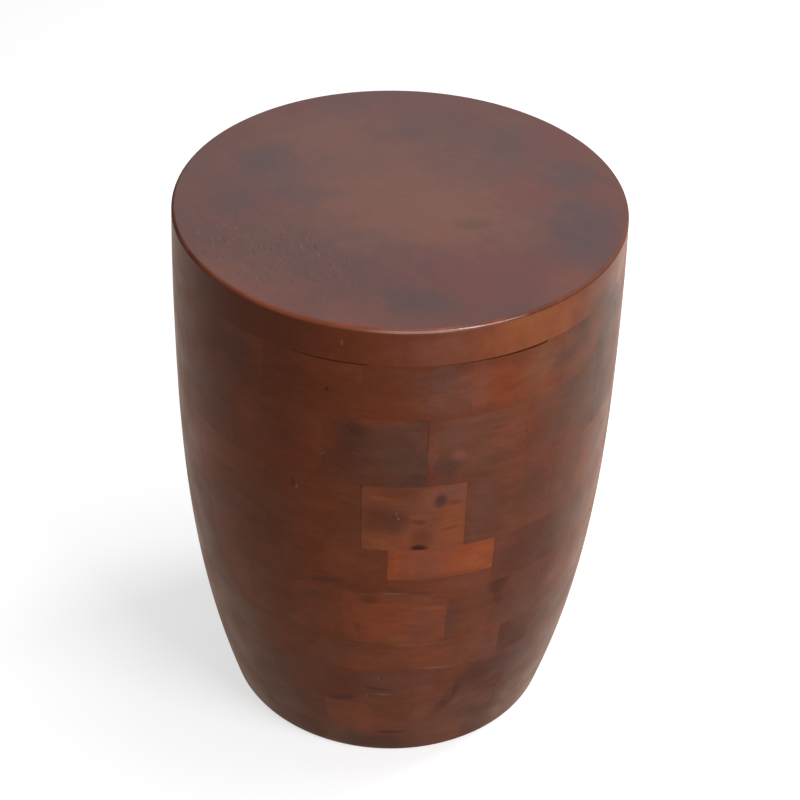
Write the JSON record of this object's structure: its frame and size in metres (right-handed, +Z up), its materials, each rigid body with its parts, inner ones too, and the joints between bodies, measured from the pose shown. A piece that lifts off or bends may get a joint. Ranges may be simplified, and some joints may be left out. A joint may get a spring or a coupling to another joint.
{
  "type": "drum side table",
  "caption": "Barrel-shaped drum side table in dark stained wood: brick-laid block courses, turned smooth, under a round solid wood top.",
  "frame": {"origin": "centre of the floor area under the drum, on the plane that its felt pads rest on", "axes": "+Z up along the axis that the drum is turned on, -Y to the front, +X to the right seen from the front"},
  "size_m": [0.3836, 0.3836, 0.5],
  "materials": {
    "block_wood": "dark red-brown stain under satin lacquer, each block with its own tone and figure",
    "top_wood": "dark brown stain under satin lacquer, rubbed even",
    "dowel_wood": "bare beech",
    "panel_wood": "plywood, stained dark",
    "screw_steel": "zinc plated",
    "pad_felt": "dark wool felt"
  },
  "bodies": {
    "root": {"course_1_blocks": "block_wood", "course_2_blocks": "block_wood", "course_3_blocks": "block_wood", "course_4_blocks": "block_wood", "course_5_blocks": "block_wood", "course_6_blocks": "block_wood", "course_6_strip": "block_wood", "course_7_blocks": "block_wood", "course_8_blocks": "block_wood", "course_9_blocks": "block_wood", "top_board_1": "top_wood", "top_board_2": "top_wood", "top_board_3": "top_wood", "top_board_4": "top_wood", "top_board_5": "top_wood", "top_dowels": "dowel_wood", "bottom_panel": "panel_wood", "panel_screws": "screw_steel", "felt_pads": "pad_felt"}
  },
  "joints": []
}
